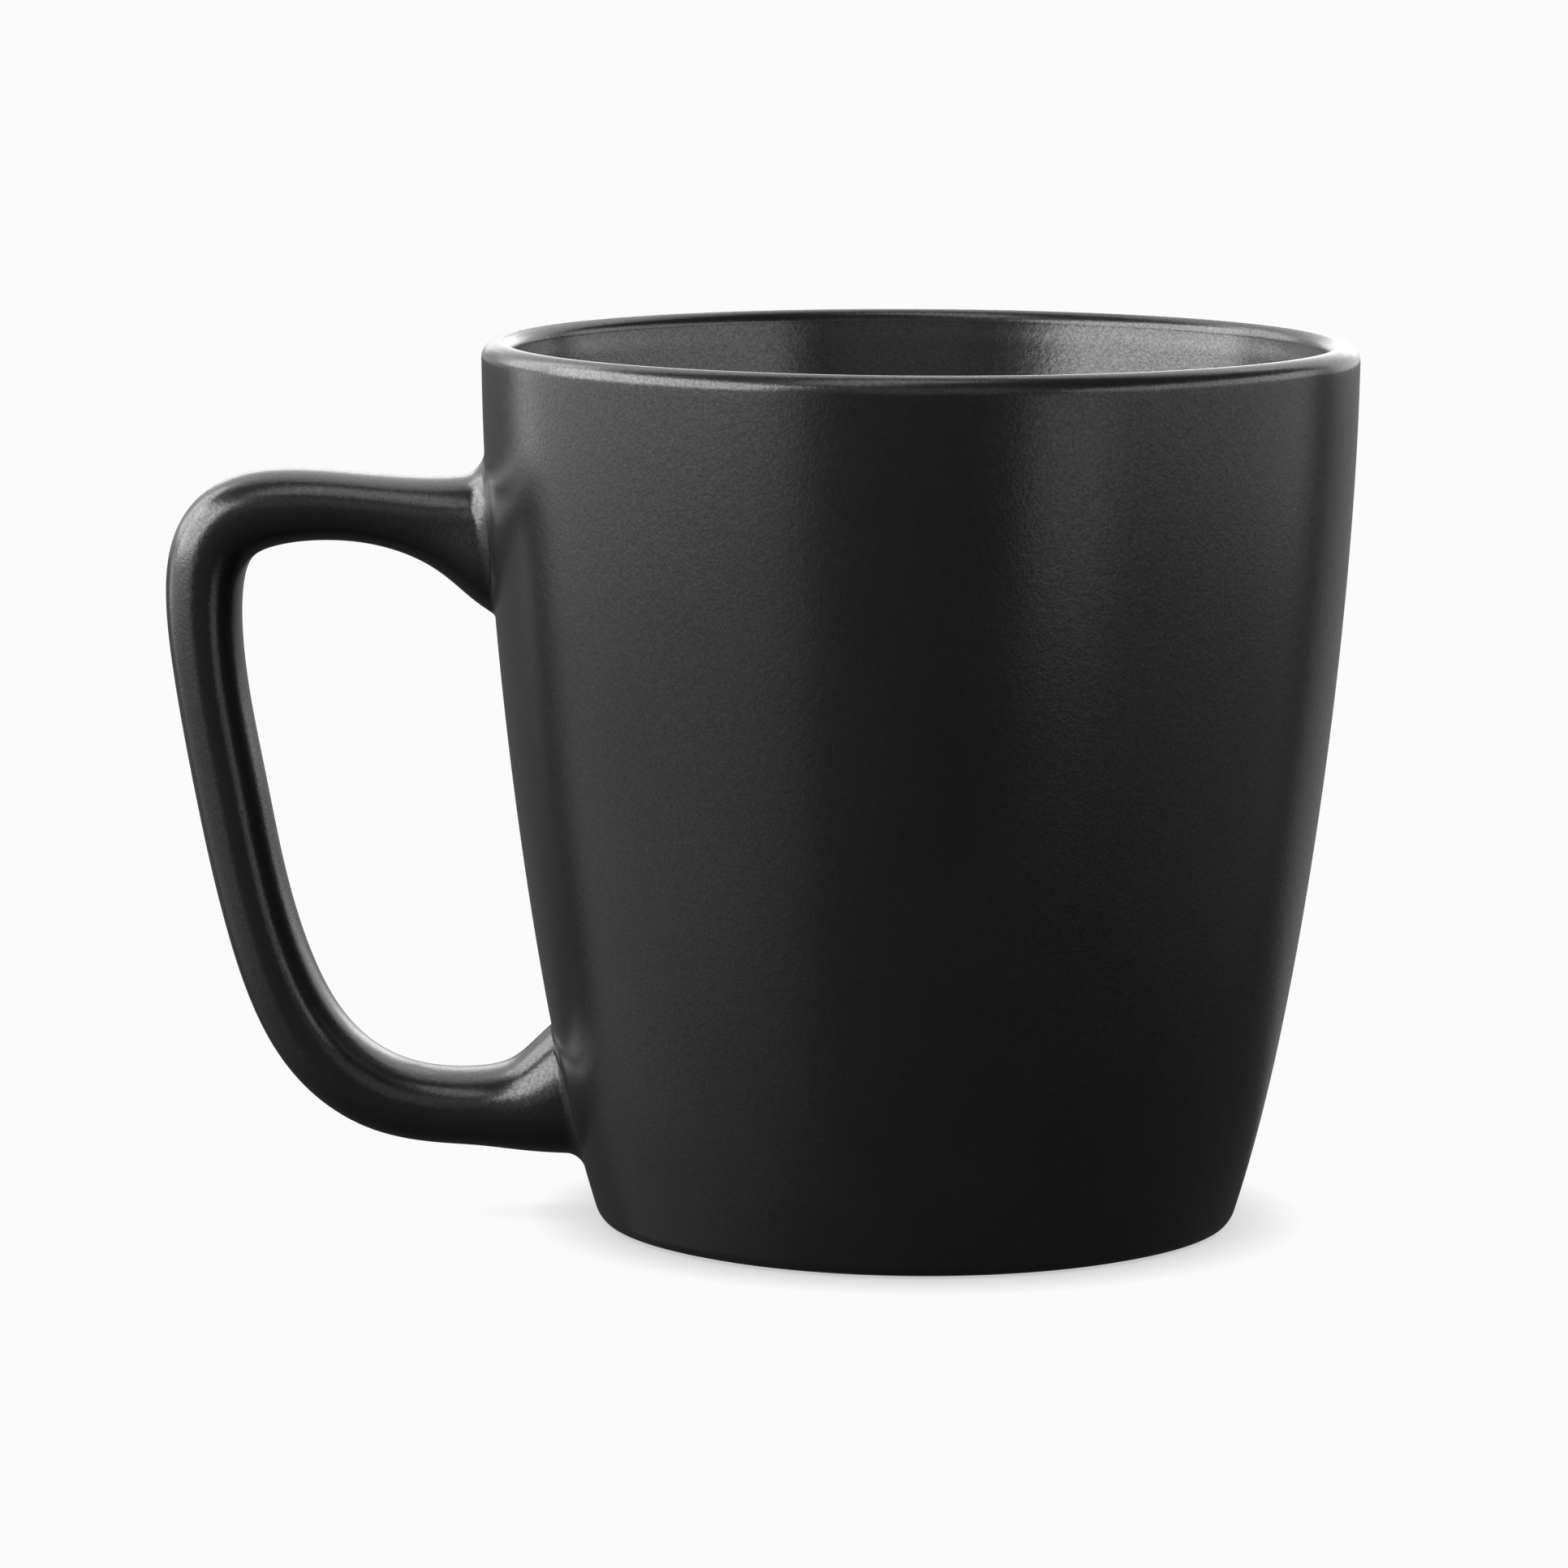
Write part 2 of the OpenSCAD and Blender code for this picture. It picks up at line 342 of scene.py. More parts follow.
# %% Cove at each root
UPPER_COVE_R = 3.1 * MM
LOWER_COVE_R = 2.0 * MM
FINGER_COVE_R = 0.7 * MM
RING_SIDES = 120
COVE_STEPS = 14
SEARCH_STEPS = 3000
ring_angle = np.linspace(0, 2 * math.pi, RING_SIDES, endpoint=False)
ROOTS = {"upper": (UPPER_COVE_R, 0.0, 5.0), "lower": (LOWER_COVE_R, float(SPANS), SPANS - 4.0)}


def root_u(root, lift, gaps):
    """How far along the path each side of the handle stands off the wall by a given gap. The path
    is sampled finely from inside the wall outwards, and the first two samples round the gap are
    blended."""
    _, inside, outside = ROOTS[root]
    u = np.linspace(inside, outside, SEARCH_STEPS)[:, None]
    gap = wall_gap(handle_point(u, ring_angle, lift), lift)
    after = np.argmax(gap[None] >= gaps[:, None], axis=1)
    before = after - 1
    side = np.arange(RING_SIDES)
    share = (gaps - gap[before, side]) / (gap[after, side] - gap[before, side])
    return u[before, 0] + share * (u[after, 0] - u[before, 0])


def cove_radius(root):
    """The cove's radius on the bare clay at each angle round the handle: the outer value at angle 0,
    the finger side's at a half turn, and a cosine blend of the two between."""
    return FINGER_COVE_R + (ROOTS[root][0] - FINGER_COVE_R) * (1 + np.cos(ring_angle)) / 2


def cove_rows(root, lift, first=QUARTER, last=0.0):
    """Rings of the cove from one arc angle to another. At arc angle a, a cove of radius r stands r
    times 1 - sin a off the wall and has grown by r times 1 - cos a. Each grown point is then moved
    level until it stands off by just that much. Returns the rings and their places along the path."""
    radius = cove_radius(root) - lift
    share = (1 - np.cos(np.linspace(0, math.pi, COVE_STEPS + 1)))[:, None] / 2
    a = first + (last - first) * share + 0 * ring_angle
    gaps = radius * (1 - np.sin(a))
    u = root_u(root, lift, gaps)
    points = handle_point(u, ring_angle, lift + radius * (1 - np.cos(a)))
    level = side_radius(points[..., 2], lift) + gaps
    points[..., :2] *= (level / np.hypot(points[..., 0], points[..., 1]))[..., None]
    return points, u


for root in ROOTS:
    ring = cove_rows(root, GLAZE_T)[0][0]
    print(f"{root} root: z {ring[:, 2].min() / MM:.1f} to {ring[:, 2].max() / MM:.1f} mm, "
          f"{np.ptp(ring[:, 1]) / MM:.1f} mm wide")


# %% [markdown]
# ## Between the roots
#
# The handle's skin is the cove of the upper root, the strip, and the cove of the lower root turned
# end for end. The coves end at a different place on each side of the handle, so the rings next to
# them are slanted, and the slant fades out along the strip.

# %% Handle skins
STRIP_RINGS = 170
FADE = 0.25


def strip_rows(lift, start_u, end_u):
    """Rings between the coves. Each side's place along the path runs evenly between the means of
    start_u and end_u, plus its own difference from each mean times the cube of a share that fades
    to 0."""
    s = np.linspace(0, 1, STRIP_RINGS + 2)[1:-1, None]
    even = start_u.mean() * (1 - s) + end_u.mean() * s
    near_start = np.clip(1 - s / FADE, 0, None) ** 3
    near_end = np.clip(1 - (1 - s) / FADE, 0, None) ** 3
    u = even + (start_u - start_u.mean()) * near_start + (end_u - end_u.mean()) * near_end
    return handle_point(u, ring_angle, lift)


def handle_skin(lift, upper_first=QUARTER, lower_first=QUARTER):
    """All rings of the handle from the upper root to the lower. Each cove starts at its own arc
    angle, which is a quarter turn where it reaches the wall."""
    upper, upper_u = cove_rows("upper", lift, upper_first)
    lower, lower_u = cove_rows("lower", lift, lower_first)
    return np.concatenate([upper, strip_rows(lift, upper_u[-1], lower_u[-1]), lower[::-1]])


handle_glaze_skin = handle_skin(GLAZE_T)
handle_clay_skin = handle_skin(0.0)
print("handle rings:", len(handle_glaze_skin), "of", RING_SIDES, "points")

# %% [markdown]
# ## The wall's grid and its two windows
#
# The glaze on the outside has a hole at each root, because the handle was already on when the mug
# was dipped. Its grid of rows and columns gets a rectangular window there, and rings between the
# window's border and the cove's edge fill it. The border has as many points as the cove's edge. A
# point on a ring between the two is a blend of their angle and height, put back on the wall, so the
# patch lies on the same surface as the grid round it.

# %% Rows and windows of the wall
COLUMNS = 320
WINDOW = RING_SIDES // 4
WINDOW_HEIGHTS = {"lower": (2.6 * MM, 26.0 * MM), "upper": (63.5 * MM, 92.0 * MM)}
ROW_STEP = 1.15 * MM
FOOT_STEPS = 8
LIP_STEPS = 18
PATCH_RINGS = 8


def heights(start, end, step):
    """Even heights from start to end, about a step apart, without the end."""
    return np.linspace(start, end, max(1, round((end - start) / step)), endpoint=False)


lower_start, lower_end = WINDOW_HEIGHTS["lower"]
upper_start, upper_end = WINDOW_HEIGHTS["upper"]
side_z = np.concatenate(
    [
        heights(foot_top_z, lower_start, ROW_STEP)[1:],
        np.linspace(lower_start, lower_end, WINDOW, endpoint=False),
        heights(lower_end, upper_start, ROW_STEP),
        np.linspace(upper_start, upper_end, WINDOW, endpoint=False),
        heights(upper_end, lip_low_z, ROW_STEP),
    ]
)
column_angle = np.linspace(0, 2 * math.pi, COLUMNS, endpoint=False)
first_column = COLUMNS // 2 - WINDOW // 2
window_row = {
    root: FOOT_STEPS + 1 + int(np.argmin(np.abs(side_z - WINDOW_HEIGHTS[root][0]))) for root in ROOTS
}


def wall_outline(lift):
    """The outline from the edge of the bare foot to the lip's crest: the foot's arc, the side and a
    quarter of a circle over the lip."""
    side = np.stack([side_radius(side_z, lift), side_z], axis=-1)
    foot = arc(foot_mid, FOOT_R + lift, bare_angle, -foot_lean, FOOT_STEPS)
    lip = arc((lip_mid_r, lip_low_z), LIP_R + lift, 0, QUARTER, LIP_STEPS)
    return np.concatenate([foot, side, lip])


def border(root):
    """Rows and columns of a window's border, one for each angle round the handle. It starts at the
    middle of the side that the handle's outer face meets, and runs towards +Y through the four
    corners, one step of the grid at a time."""
    half = WINDOW // 2
    corners = [0, half, half + WINDOW, half + 2 * WINDOW, half + 3 * WINDOW, 4 * WINDOW]
    step = np.arange(RING_SIDES)
    across = np.interp(step, corners, [half, 0, 0, WINDOW, WINDOW, half]).round().astype(int)
    inward = np.interp(step, corners, [0, 0, WINDOW, WINDOW, 0, 0]).round().astype(int)
    rows = window_row[root] + (WINDOW - inward if root == "upper" else inward)
    return rows, first_column + across


for root in ROOTS:
    rows, columns = border(root)
    print(root, "window rows", rows.min(), rows.max(), "columns", columns.min(), columns.max())


def patch(root, lift, rim):
    """Rings from a window's border to the cove's edge. Both are taken as angle round the cup and
    height, blended in even shares, and put back on the wall."""
    rows, columns = border(root)
    z = wall_outline(lift)[rows, 1]
    rim_angle = np.arctan2(rim[:, 1], rim[:, 0]) % (2 * math.pi)
    share = np.linspace(0, 1, PATCH_RINGS + 1)[1:, None]
    angle = column_angle[columns] * (1 - share) + rim_angle * share
    z = z * (1 - share) + rim[:, 2] * share
    radius = side_radius(z, lift)
    return np.stack([radius * np.cos(angle), radius * np.sin(angle), z], axis=-1)


def wall_shell():
    """Points and quads of the coat on the outside: two skins of grid with windows, the two windows'
    patches in each skin, and the bands between the skins."""
    lifts = (GLAZE_T, 0.0)
    skins = {GLAZE_T: handle_glaze_skin, 0.0: handle_clay_skin}
    grids = [turned(wall_outline(lift), COLUMNS) for lift in lifts]
    patches = [
        patch(root, lift, skins[lift][0 if root == "upper" else -1]) for root in ROOTS for lift in lifts
    ]
    points, numbers = numbered(*grids, *patches)
    outer, inner = numbers[:2]
    rings = dict(zip([(root, lift) for root in ROOTS for lift in lifts], numbers[2:]))
    keep = np.ones((len(outer) - 1, COLUMNS), bool)
    for root in ROOTS:
        row = window_row[root]
        keep[row : row + WINDOW, first_column : first_column + WINDOW] = False
    quads = [skin(outer)[keep], skin(inner)[keep][:, ::-1]]
    quads += [skin(np.stack([outer[-1], inner[-1]])), skin(np.stack([inner[0], outer[0]]))]
    for root in ROOTS:
        rows, columns = border(root)
        between = [*rings[root, GLAZE_T], *rings[root, 0.0][::-1]]
        path = np.stack([outer[rows, columns], *between, inner[rows, columns]])
        quads.append(skin(path if root == "upper" else path[:, ::-1]))
    return points, quads


# %% [markdown]
# ## The coats inside and underneath, and the bare cup
#
# The liner runs from the lip's crest down the hollow and across the floor. The base is glazed inside
# the foot ring only, and the glaze stops a little short of the ring, where the potter wiped it off
# so that the mug wouldn't stick to the kiln's shelf. Both are coats of revolution that end in a
# point on the axis. The bare cup is one solid of revolution under them all.

# %% Turned coats and the turned solid
FLOOR_STEPS = 20
FLOOR_RINGS = 10
SLOPE_STEPS = 12
hollow_low_z = CLAY_H - LIP_IN_R
ring_in_r = foot_mid[0] - FOOT_W
flat_r = ring_in_r - RECESS_SLOPE
bare_share = math.acos(2 * BARE_H / RECESS_H - 1) / math.pi


def rings_in(radius, z):
    """Outline points from a radius in towards the axis, at one height, without the axis itself."""
    radii = np.linspace(radius, 0, FLOOR_RINGS, endpoint=False)[1:]
    return np.stack([radii, np.full(len(radii), z)], axis=-1)


def hollow_outline(lift):
    """The outline from the lip's crest to the middle of the floor: a quarter circle over the lip,
    the hollow's wall, the corner's arc, and level rings on the floor."""
    z = heights(hollow_low_z, corner_top_z, -ROW_STEP)[1:]
    lip = arc((lip_mid_r, hollow_low_z), LIP_IN_R + lift, QUARTER, 2 * QUARTER, LIP_STEPS)
    wall = np.stack([hollow_radius(z, lift), z], axis=-1)
    corner = arc(corner_mid, FLOOR_R - lift, -corner_lean, -QUARTER, FLOOR_STEPS)
    return np.concatenate([lip, wall, corner, rings_in(corner_mid[0], FLOOR_Z + lift)])


def recess_outline(lift, start=bare_share):
    """The outline from the foot ring's inner slope to the middle of the base. With share s across
    it, the slope is half a cosine wave: height times (1 + cos(pi s)) / 2. Each point is moved out of
    the clay along the slope's normal."""
    s = np.linspace(start, 0, SLOPE_STEPS + 1)
    rise = -RECESS_H * math.pi / 2 * np.sin(math.pi * s)
    length = np.hypot(RECESS_SLOPE, rise)
    r = flat_r + RECESS_SLOPE * s + lift * rise / length
    z = RECESS_H * (1 + np.cos(math.pi * s)) / 2 - lift * RECESS_SLOPE / length
    return np.concatenate([np.stack([r, z], axis=-1), rings_in(flat_r, RECESS_H - lift)])


def turned_coat(outline, columns):
    """A closed coat between an outline's glazed and bare forms, both ending on the axis."""
    glazed, bare = outline(GLAZE_T), outline(0.0)
    ends = np.array([[0, 0, glazed[-1, 1]], [0, 0, bare[-1, 1]]])
    points, (outer, inner, ends) = numbered(turned(glazed, columns), turned(bare, columns), ends)
    quads = [skin(outer), skin(inner)[..., ::-1], skin(np.stack([inner[0], outer[0]]))]
    return points, quads, [fan(outer[-1], ends[0]), fan(inner[-1][::-1], ends[1])]


def cup_solid(columns):
    """The bare cup: the base and its ring, the outside, and the hollow, turned as one outline."""
    foot = arc(foot_mid, FOOT_R, -QUARTER, bare_angle, FOOT_STEPS)[:-1]
    under = recess_outline(0.0, 1.0)[::-1]
    outline = np.concatenate([under, foot, wall_outline(0.0), hollow_outline(0.0)[1:]])
    ends = np.array([[0, 0, RECESS_H], [0, 0, FLOOR_Z]])
    points, (rings, ends) = numbered(turned(outline, columns), ends)
    return points, [skin(rings)], [fan(rings[0][::-1], ends[0]), fan(rings[-1], ends[1])]


# %% [markdown]
# ## The bare handle and the slip under its ends
#
# The handle's ends are cut hollow to sit on the round side, and a thin layer of slip, which is clay
# thinned with water, glues each one on. So the slip is a slice of the root between the wall and the
# handle's end. Each end is a curved disc: rings that shrink towards the middle of the root, all kept
# at one distance off the wall.

# %% Capped tubes
DISC_RINGS = 8


def disc(rim, gap):
    """Rings from a rim to its middle, and the middle itself. Each point's angle round the cup and
    height are blended towards the rim's means, and it is put at the given gap off the wall."""
    share = np.linspace(1, 0, DISC_RINGS + 1)[1:, None]
    rim_angle = np.arctan2(rim[:, 1], rim[:, 0]) % (2 * math.pi)
    angle = rim_angle.mean() + share * (rim_angle - rim_angle.mean())
    z = rim[:, 2].mean() + share * (rim[:, 2] - rim[:, 2].mean())
    radius = side_radius(z) + gap
    points = np.stack([radius * np.cos(angle), radius * np.sin(angle), z], axis=-1)
    return points[:-1], points[-1, 0]


def capped(rows, first_gap, last_gap):
    """A closed tube of rings with a curved disc over each end."""
    first_rings, first_middle = disc(rows[0], first_gap)
    last_rings, last_middle = disc(rows[-1], last_gap)
    rings = np.concatenate([first_rings[::-1], rows, last_rings])
    points, (rings, middles) = numbered(rings, np.stack([first_middle, last_middle]))
    return points, [skin(rings)], [fan(rings[0][::-1], middles[0]), fan(rings[-1], middles[1])]


def handle_shell():
    """The handle's coat: its glazed skin, its bare skin inside out, and a band at each end."""
    points, (outer, inner) = numbered(handle_glaze_skin, handle_clay_skin)
    return points, [skin(np.concatenate([outer, inner[::-1], outer[:1]]))], []


slip_edge = {root: np.arcsin(1 - SLIP_T / cove_radius(root)) for root in ROOTS}

# %% [markdown]
# ## Materials
#
# One helper adds a node with its settings and its links, and one turns a hex colour to the linear
# values that the renderer works in. Patterns read Object coordinates, which are metres here, so a
# noise's scale is one over the size of its grain.

# %% Node helpers


def linear(hex_colour):
    """A colour from its sRGB hex digits, as linear red, green, blue and alpha."""
    parts = [int(hex_colour[i : i + 2], 16) / 255 for i in (1, 3, 5)]
    return [p / 12.92 if p <= 0.04045 else ((p + 0.055) / 1.055) ** 2.4 for p in parts] + [1.0]


def add(tree, kind, settings=None, **inputs):
    """Adds a node. Settings are its attributes. An input is a value for the socket of that name, or
    another node's output to link it to, with underscores for the spaces in its name. Where sockets
    share a name, i and a number picks one by its place."""
    node = tree.nodes.new(kind)
    for name, value in (settings or {}).items():
        setattr(node, name, value)
    for name, value in inputs.items():
        by_number = name[0] == "i" and name[1:].isdigit()
        socket = node.inputs[int(name[1:]) if by_number else name.replace("_", " ")]
        if isinstance(value, bpy.types.NodeSocket):
            tree.links.new(value, socket)
        else:
            socket.default_value = value
    return node


def new_material(name):
    """An empty material with nodes, and its tree."""
    material = bpy.data.materials.new(name)
    material.use_nodes = True
    material.node_tree.nodes.clear()
    return material, material.node_tree


def per_grain(size_mm):
    """A noise scale whose grains are about this many millimetres across."""
    return 1 / (size_mm * MM)


# %% [markdown]
# ### Satin black glaze
#
# A black stoneware glaze, coloured with iron, cobalt and manganese and fired until it just melts
# smooth. Fine crystals grow in it as it cools, which blur its reflections to a satin sheen and leave
# an eggshell grain that shows wherever light grazes it. The body colour is nearly black, so what the
# eye reads is almost only the sheen: roughness and bump matter more here than colour. The same fine
# grain makes some spots mirror less than others, from matt to glossy.

# %% Glaze material
GLAZE_DARK = "#141414"
GLAZE_LIGHT = "#1d1d1d"
GLAZE_IOR = 1.5
SHINIEST = 0.23
DULLEST = 0.27
MATT_SPOT = 0.35
GLOSSY_SPOT = 0.65
CLOUD_MM = 14.0
GRAIN_MM = 0.32
CRYSTAL_MM = 0.8
GRAIN_HEIGHT = 0.016 * MM


def satin_glaze():
    """Cloudy black colour and roughness under two sizes of fine bump."""
    material, tree = new_material("satin_black_stoneware_glaze")
    at = add(tree, "ShaderNodeTexCoord").outputs["Object"]
    cloud = add(tree, "ShaderNodeTexNoise", Vector=at, Scale=per_grain(CLOUD_MM), Detail=3.0)
    grain = add(tree, "ShaderNodeTexNoise", Vector=at, Scale=per_grain(GRAIN_MM), Detail=2.0)
    crystal = add(tree, "ShaderNodeTexNoise", Vector=at, Scale=per_grain(CRYSTAL_MM), Detail=2.0)
    colour = add(
        tree, "ShaderNodeMix", {"data_type": "RGBA"}, Factor=cloud.outputs["Fac"],
        i6=linear(GLAZE_DARK), i7=linear(GLAZE_LIGHT),
    )
    sheen = add(
        tree, "ShaderNodeMapRange", Value=crystal.outputs["Fac"], From_Min=0.3, From_Max=0.7,
        To_Min=SHINIEST, To_Max=DULLEST,
    )
    spark = add(
        tree, "ShaderNodeMapRange", Value=grain.outputs["Fac"], From_Min=0.3, From_Max=0.7,
        To_Min=MATT_SPOT, To_Max=GLOSSY_SPOT,
    )
    height = add(
        tree, "ShaderNodeMath", {"operation": "ADD"},
        i0=grain.outputs["Fac"], i1=crystal.outputs["Fac"],
    )
    bump = add(
        tree, "ShaderNodeBump", Strength=1.0, Distance=GRAIN_HEIGHT, Height=height.outputs["Value"],
    )
    shader = add(
        tree, "ShaderNodeBsdfPrincipled", Base_Color=colour.outputs[2],
        Roughness=sheen.outputs["Result"], Normal=bump.outputs["Normal"], IOR=GLAZE_IOR,
        Specular_IOR_Level=spark.outputs["Result"],
    )
    add(tree, "ShaderNodeOutputMaterial", Surface=shader.outputs["BSDF"])
    return material


# %% [markdown]
# ### Bare stoneware and slip
#
# The fired body is a pale grey-buff stoneware with fine grog and a few iron specks, dry and matt.
# The slip is the same clay, finer and a little darker.

# %% Clay materials
CLAY_PALE = "#b9b1a4"
CLAY_WARM = "#a2998b"
CLAY_SPECK = "#5b4f42"
SLIP_PALE = "#8f8678"
SLIP_WARM = "#7d7466"
GROG_MM = 0.7
SPECK_MM = 1.6
SPECK_STRENGTH = 0.8
CLAY_HEIGHT = 0.02 * MM
CLAY_ROUGHNESS = 0.88


def fired_clay(name, pale, warm, speck):
    """Mottled clay with sparse specks and a gritty bump."""
    material, tree = new_material(name)
    at = add(tree, "ShaderNodeTexCoord").outputs["Object"]
    grog = add(tree, "ShaderNodeTexNoise", Vector=at, Scale=per_grain(GROG_MM), Detail=4.0)
    cells = add(tree, "ShaderNodeTexVoronoi", Vector=at, Scale=per_grain(SPECK_MM))
    body = add(
        tree, "ShaderNodeMix", {"data_type": "RGBA"}, Factor=grog.outputs["Fac"],
        i6=linear(pale), i7=linear(warm),
    )
    spot = add(
        tree, "ShaderNodeMapRange", Value=cells.outputs["Distance"], From_Min=0.1, From_Max=0.16,
        To_Min=SPECK_STRENGTH, To_Max=0.0,
    )
    colour = add(
        tree, "ShaderNodeMix", {"data_type": "RGBA"}, Factor=spot.outputs["Result"],
        i6=body.outputs[2], i7=linear(speck),
    )
    bump = add(tree, "ShaderNodeBump", Distance=CLAY_HEIGHT, Height=grog.outputs["Fac"])
    shader = add(
        tree, "ShaderNodeBsdfPrincipled", Base_Color=colour.outputs[2], Roughness=CLAY_ROUGHNESS,
        Normal=bump.outputs["Normal"],
    )
    add(tree, "ShaderNodeOutputMaterial", Surface=shader.outputs["BSDF"])
    return material


glaze = satin_glaze()
clay = fired_clay("fired_grey_stoneware", CLAY_PALE, CLAY_WARM, CLAY_SPECK)
slip = fired_clay("fired_slip", SLIP_PALE, SLIP_WARM, CLAY_SPECK)
print("materials:", [m.name for m in (glaze, clay, slip)])

# %% [markdown]
# ## The eight pieces
#
# Each call makes one piece in the place of one CAD node.

# %% Make the pieces
make_piece("outer_glaze", *wall_shell(), [], glaze, "black_glaze")
make_piece("handle_glaze", *handle_shell(), glaze, "black_glaze")
make_piece("liner_glaze", *turned_coat(hollow_outline, COLUMNS), glaze, "black_glaze")
make_piece("base_glaze", *turned_coat(recess_outline, COLUMNS // 2), glaze, "black_glaze")
make_piece("cup_body", *cup_solid(COLUMNS // 2), clay, "stoneware")
bare_rows = handle_skin(0.0, slip_edge["upper"], slip_edge["lower"])
make_piece("handle", *capped(bare_rows, SLIP_T, SLIP_T), clay, "stoneware")
for root in ROOTS:
    slice_rows = cove_rows(root, 0.0, QUARTER, slip_edge[root])[0]
    make_piece(f"{root}_slip_joint", *capped(slice_rows, 0.0, SLIP_T), slip, "slip")

# %% [markdown]
# ## Camera
#
# A long lens from a little above the rim, level enough that the mug's sides stay nearly upright.

# %% Camera
CAMERA_AT = Vector((8.67, -815.85, 164.0)) * MM
CAMERA_YAW = -0.0290736
CAMERA_DOWN = 0.139639
CAMERA_ROLL = 0.0038904
LENS = 168.0
camera_data = bpy.data.cameras.new("camera")
camera_data.lens = LENS
camera_data.clip_start = 0.05
camera = bpy.data.objects.new("camera", camera_data)
turn = Matrix.Rotation(-CAMERA_YAW, 4, "Z") @ Matrix.Rotation(QUARTER - CAMERA_DOWN, 4, "X")
camera.matrix_world = Matrix.Translation(CAMERA_AT) @ turn @ Matrix.Rotation(CAMERA_ROLL, 4, "Z")
bpy.context.scene.collection.objects.link(camera)
bpy.context.scene.camera = camera

# %% [markdown]
# ## Floor
#
# The mug stands on a pale seamless sheet. A black glaze mirrors everything round it, and a studio
# keeps a white table out of that mirror with flags, so this sheet is seen by the camera and by
# nothing else. What tells the eye that the mug stands on it is a painted shadow: the sheet's glow
# is made darker where the mug is close above it, as a soft dark line under the foot.

# %% Floor
FLOOR_HALF = 6.0
PALE = 0.96
# How far the painted shadow under the mug reaches, and how dark it gets
PAINTED_SHADOW_REACH = 0.008
PAINTED_SHADOW_TONE = 0.55 * PALE
SHADE_SAMPLES = 16


def pale_floor():
    """A sheet that glows pale all over, with a painted shadow that darkens it close to what stands on
    it.
    """
    material, tree = new_material("pale_floor_painted_shadow")
    # Painted shadow: ambient occlusion dims the sheet's glow where the mug is close above it
    reach = add(
        tree, "ShaderNodeAmbientOcclusion", {"samples": SHADE_SAMPLES}, Distance=PAINTED_SHADOW_REACH,
    )
    tone = add(
        tree, "ShaderNodeMapRange", Value=reach.outputs["AO"], To_Min=PAINTED_SHADOW_TONE, To_Max=PALE,
    )
    glow = add(tree, "ShaderNodeEmission", Strength=tone.outputs["Result"])
    clear = add(tree, "ShaderNodeBsdfTransparent")
    back = add(tree, "ShaderNodeNewGeometry").outputs["Backfacing"]
    mix = add(tree, "ShaderNodeMixShader", Fac=back, i1=glow.outputs[0], i2=clear.outputs[0])
    add(tree, "ShaderNodeOutputMaterial", Surface=mix.outputs[0])
    return material


corners = np.array([(-1, -1, 0), (1, -1, 0), (1, 1, 0), (-1, 1, 0)]) * FLOOR_HALF
floor_mesh = bpy.data.meshes.new("floor")
floor_mesh.from_pydata(corners.tolist(), [], [(0, 1, 2, 3)])
floor_mesh.materials.append(pale_floor())
floor = bpy.data.objects.new("floor", floor_mesh)
bpy.context.scene.collection.objects.link(floor)
for ray in ("diffuse", "glossy", "transmission", "shadow"):
    setattr(floor, "visible_" + ray, False)
print("floor:", 2 * FLOOR_HALF, "m across")

# %% [markdown]
# ## Studio
#
# The room is as pale as the floor to the camera, so the two have no edge between them, and dim to
# everything else. The dim part is the light that a real studio's walls send back. It keeps the dark
# side of the glaze from going to pure black.

# %% World
ROOM_TONE = 0.055
WHITE = (1, 1, 1, 1)
world = bpy.data.worlds.new("studio")
bpy.context.scene.world = world
world.use_nodes = True
tree = world.node_tree
tree.nodes.clear()
dim = add(tree, "ShaderNodeBackground", Color=WHITE, Strength=ROOM_TONE)
pale = add(tree, "ShaderNodeBackground", Color=WHITE, Strength=PALE)
seen = add(tree, "ShaderNodeLightPath").outputs["Is Camera Ray"]
mix = add(tree, "ShaderNodeMixShader", Fac=seen, i1=dim.outputs[0], i2=pale.outputs[0])
add(tree, "ShaderNodeOutputWorld", Surface=mix.outputs[0])
bpy.context.scene.view_settings.view_transform = "Standard"
print("studio: tone", PALE, "seen directly,", ROOM_TONE, "in reflections")

# %% [markdown]
# ## Lights
#
# A black mug shows its shape only by what it mirrors. A big soft key on the left draws the broad
# grey band down the left of the cup, the upright highlight beside its edge and the bright inside of
# the far wall. A weaker key on the right draws the other band, with a crisp front edge. Below both,
# dimmer panels stand for the light that the table sends back, and panels behind give the thin bright
# lines along the handle's edges.
#
# Each row is a panel's name, its azimuth and elevation, its width and height, all in degrees as seen
# from the mug, and its brightness, where 1 is white paper.

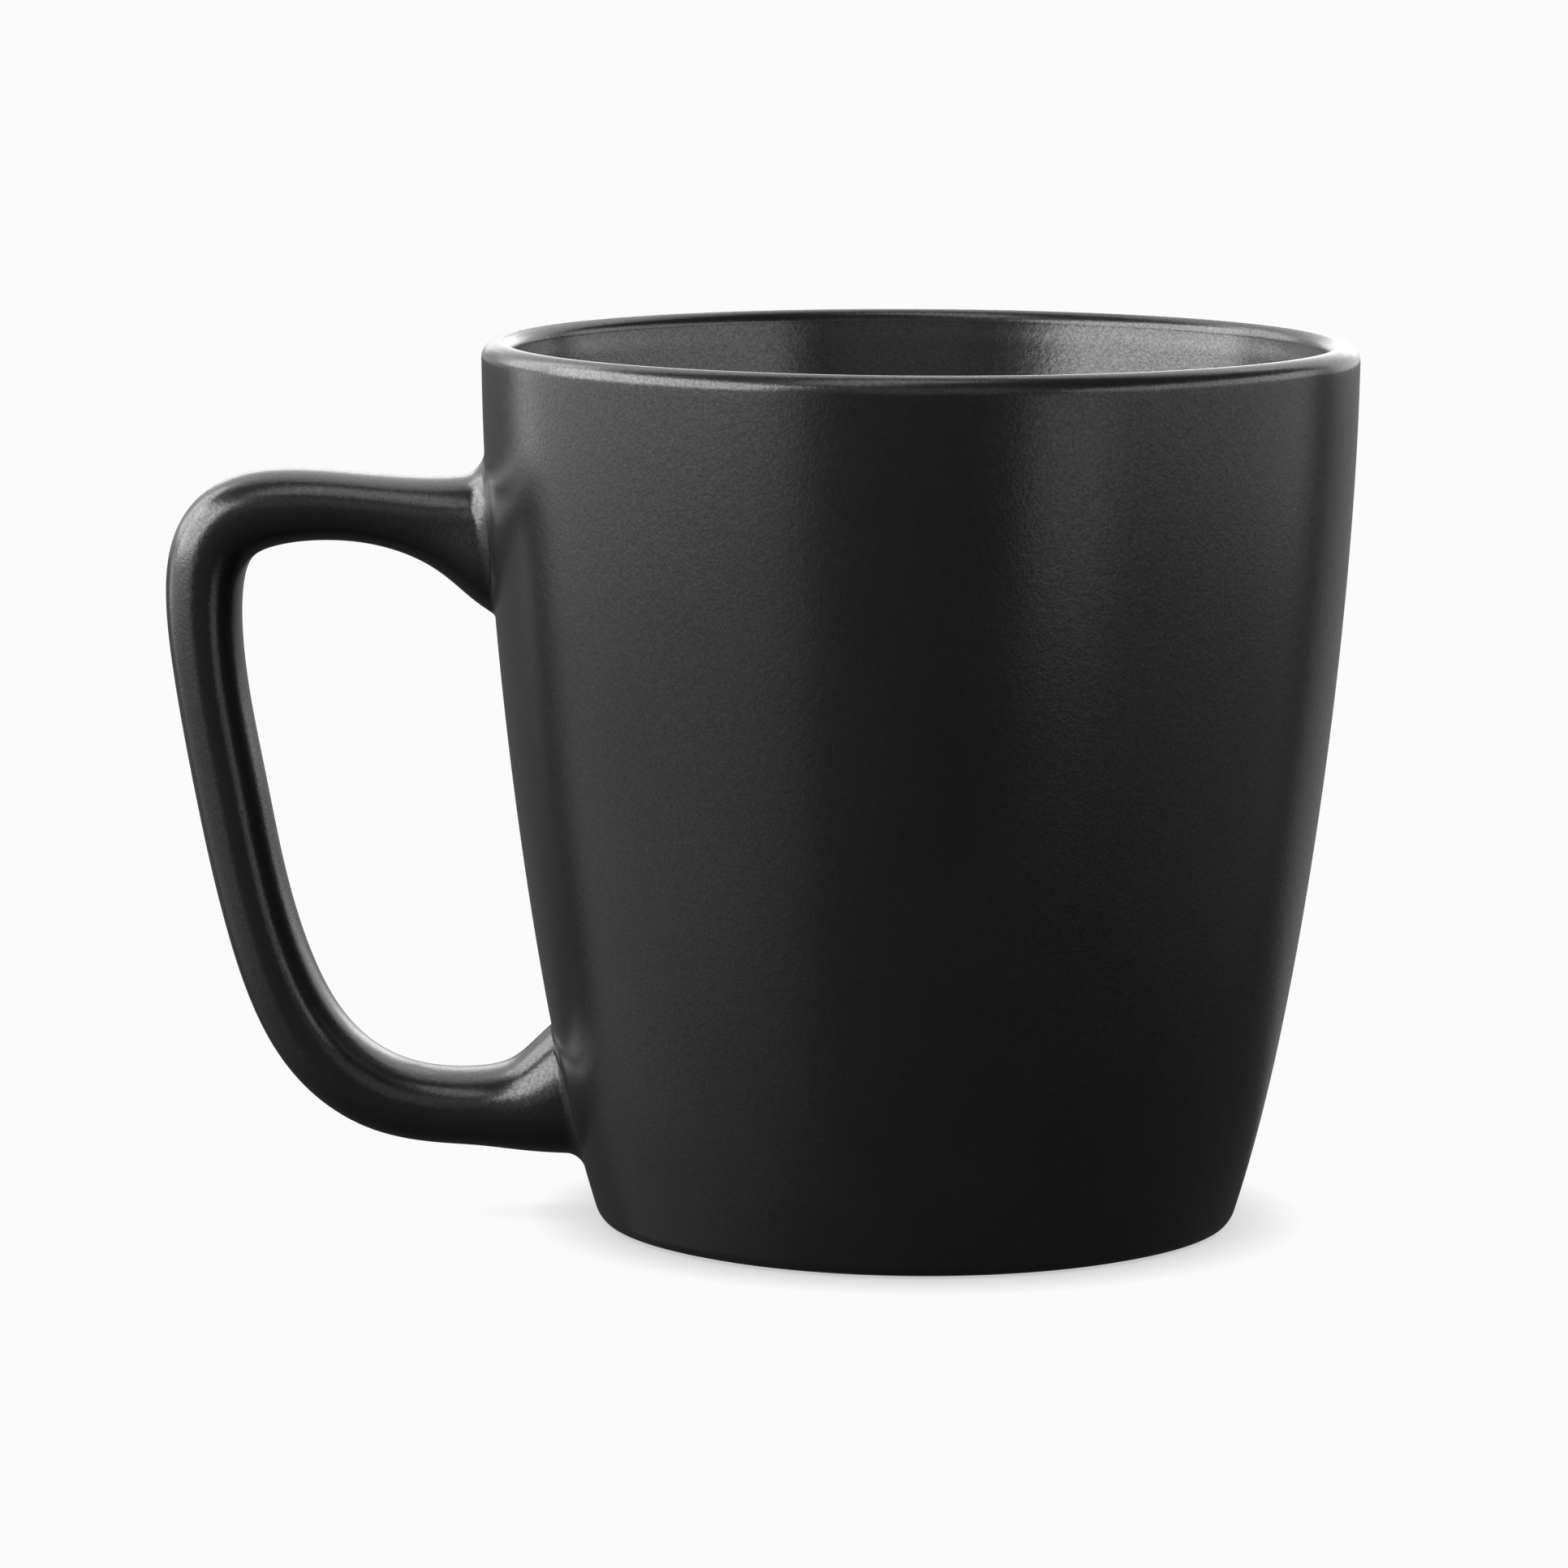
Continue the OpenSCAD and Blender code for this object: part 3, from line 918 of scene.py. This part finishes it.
# %% Lights
AIM = Vector((0, 0, 0.05))
LIGHT_FAR = 0.9
PANELS = [
    ("left_key", -75, 27, 75, 38, 8.2),
    ("left_corner", -126, 27, 26, 34, 4.0),
    ("left_strip", -123, 2, 10, 24, 1.0),
    ("left_side", -79, 0, 98, 16, 1.45),
    ("left_low", -79, -17, 98, 18, 0.42),
    ("left_floor", -79, -33, 98, 16, 0.12),
    ("right_key", 83, 19, 86, 22, 2.6),
    ("right_edge", 39, -4, 22, 12, 1.35),
    ("right_side", 86, 0, 72, 16, 0.9),
    ("right_low", 76, -15, 94, 14, 0.15),
    ("front_fill", 7, 26, 45, 36, 0.45),
    ("back_left", -157, -8, 46, 16, 0.08),
    ("back_right", 157, -8, 46, 16, 0.25),
    ("back_band_left", -157, 8, 46, 16, 0.6),
    ("back_band_right", 157, 8, 46, 16, 1.5),
    ("back_glow", 180, 11, 40, 12, 2.0),
    ("back_high_left", -157, 31, 46, 30, 1.2),
    ("back_high_right", 157, 31, 46, 30, 1.5),
    ("back_top", 180, 57, 100, 24, 1.3),
    ("overhead", -30, 75, 60, 44, 2.5),
]


def softbox(name, azimuth, elevation, width, height, brightness):
    """An area light on a sphere round the mug, with its size given as the angles that it fills, and
    its power worked out so that the whole of it looks equally bright. Azimuth 0 is behind the camera
    and 90 is to its right."""
    a, e = math.radians(azimuth), math.radians(elevation)
    out = Vector((math.sin(a) * math.cos(e), -math.cos(a) * math.cos(e), math.sin(e)))
    data = bpy.data.lights.new(name, "AREA")
    data.shape = "RECTANGLE"
    data.size = 2 * LIGHT_FAR * math.cos(e) * math.tan(math.radians(width) / 2)
    data.size_y = 2 * LIGHT_FAR * math.tan(math.radians(height) / 2)
    data.energy = brightness * math.pi * data.size * data.size_y
    light = bpy.data.objects.new(name, data)
    facing = out.to_track_quat("Z", "Y").to_matrix().to_4x4()
    light.matrix_world = Matrix.Translation(AIM + out * LIGHT_FAR) @ facing
    light.visible_camera = False
    bpy.context.scene.collection.objects.link(light)


for panel in PANELS:
    softbox(*panel)
print("lights:", len(PANELS))
